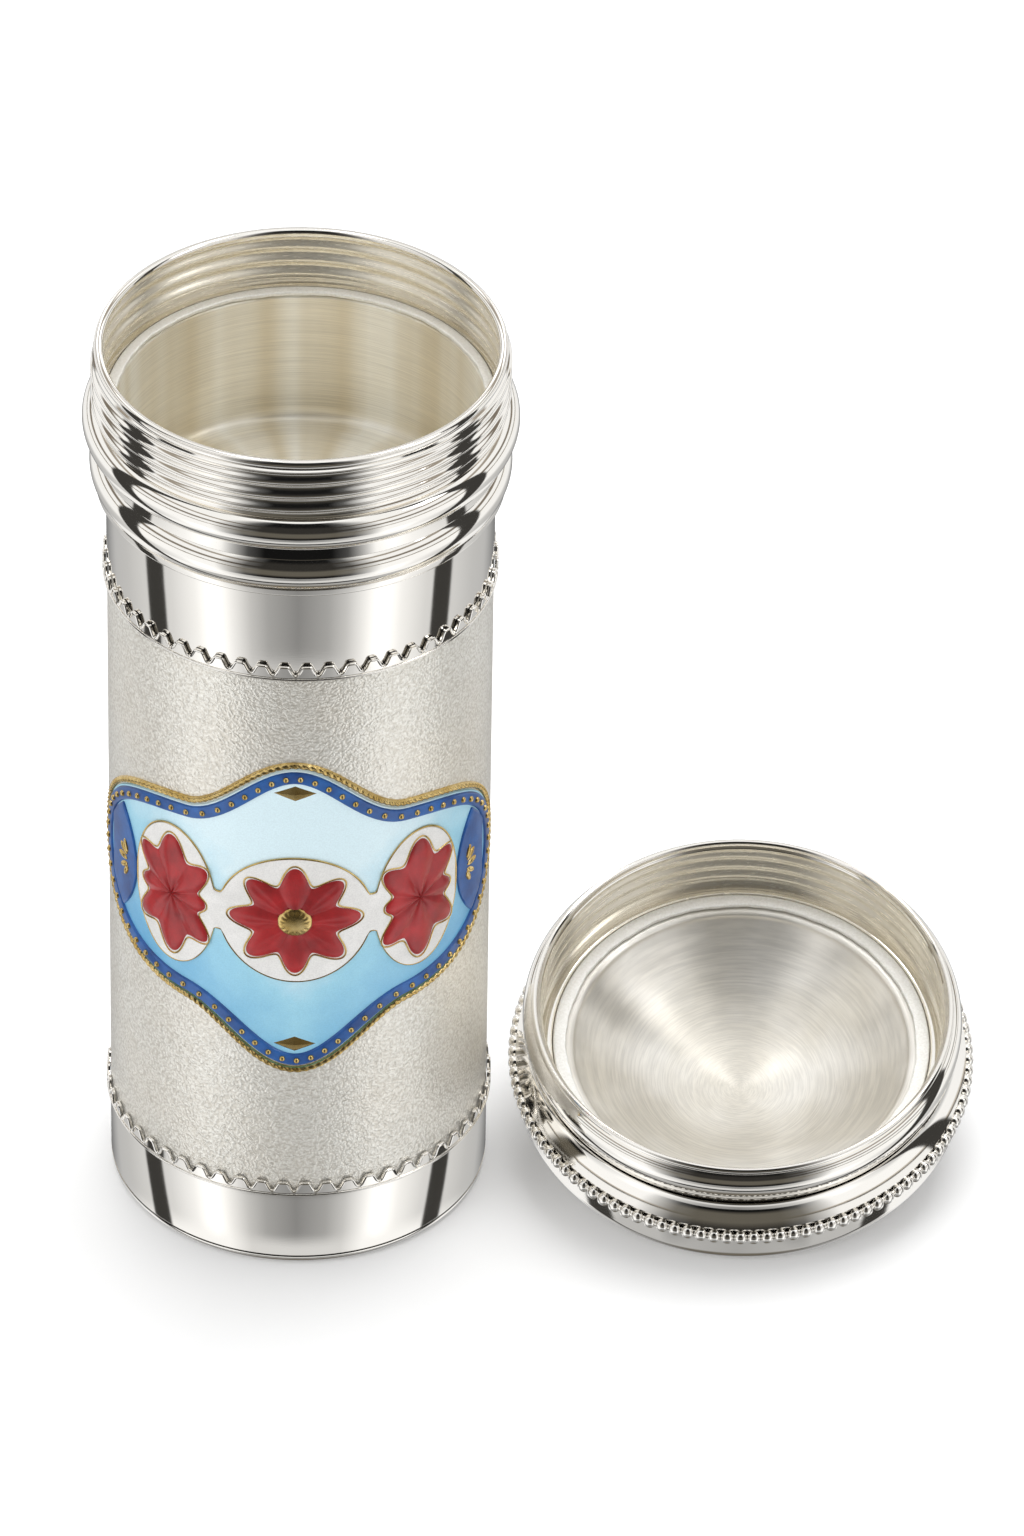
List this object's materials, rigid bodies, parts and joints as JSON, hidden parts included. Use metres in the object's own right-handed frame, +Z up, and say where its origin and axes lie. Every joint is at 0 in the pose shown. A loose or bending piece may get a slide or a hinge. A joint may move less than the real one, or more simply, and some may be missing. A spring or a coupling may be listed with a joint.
{
  "type": "screw-lidded canister",
  "caption": "Tall cylindrical silver canister with a screw neck, a stippled sleeve with an enamel plaque, and its domed screw lid lying upside down beside it.",
  "frame": {"origin": "middle of the canister's flat underside, on its axis", "axes": "+Z up along the canister's axis, -Y towards the side with the plaque, +X towards the lid that lies beside it"},
  "size_m": [0.1179, 0.0628, 0.1309],
  "materials": {
    "silver": "mirror polished silver plate",
    "satin_silver": "spun satin silver with fine circular brushing",
    "solder": "pale matt solder",
    "stippled_silver": "fine sand-textured silver",
    "gold": "polished gold tone",
    "sky_enamel": "glossy light blue enamel, deeper blue at the foot",
    "blue_enamel": "glossy deep blue enamel",
    "white_enamel": "glossy white enamel",
    "red_enamel": "glossy red enamel"
  },
  "bodies": {
    "canister": {"body_tube": "silver", "base_cap": "silver", "inner_cup": "satin_silver", "seat_ring": "solder", "neck_collar": "silver", "upper_ring": "silver", "lower_ring": "silver", "stippled_sleeve": "stippled_silver", "upper_gallery_strip": "silver", "lower_gallery_strip": "silver", "plaque_field": "sky_enamel", "plaque_frame": "gold", "plaque_border": "blue_enamel", "left_panel": "blue_enamel", "right_panel": "blue_enamel", "pale_ground": "white_enamel", "rosette": "red_enamel", "rosette_boss": "gold", "left_palmette": "red_enamel", "right_palmette": "red_enamel", "upper_lozenge": "gold", "lower_lozenge": "gold"},
    "lid": {"lid_collar": "silver", "lid_seat_ring": "solder", "lid_liner": "satin_silver", "lid_skirt": "silver", "lid_bead_ring": "silver", "lid_dome": "silver"}
  },
  "joints": [
    {"name": "lid_swing", "type": "hinge", "parent": "canister", "child": "lid", "pos_m": [0.03066, 0.00063, 0.07964], "axis": [-0.1891, -0.9749, -0.118], "range_deg": [0, 182.62]}
  ]
}
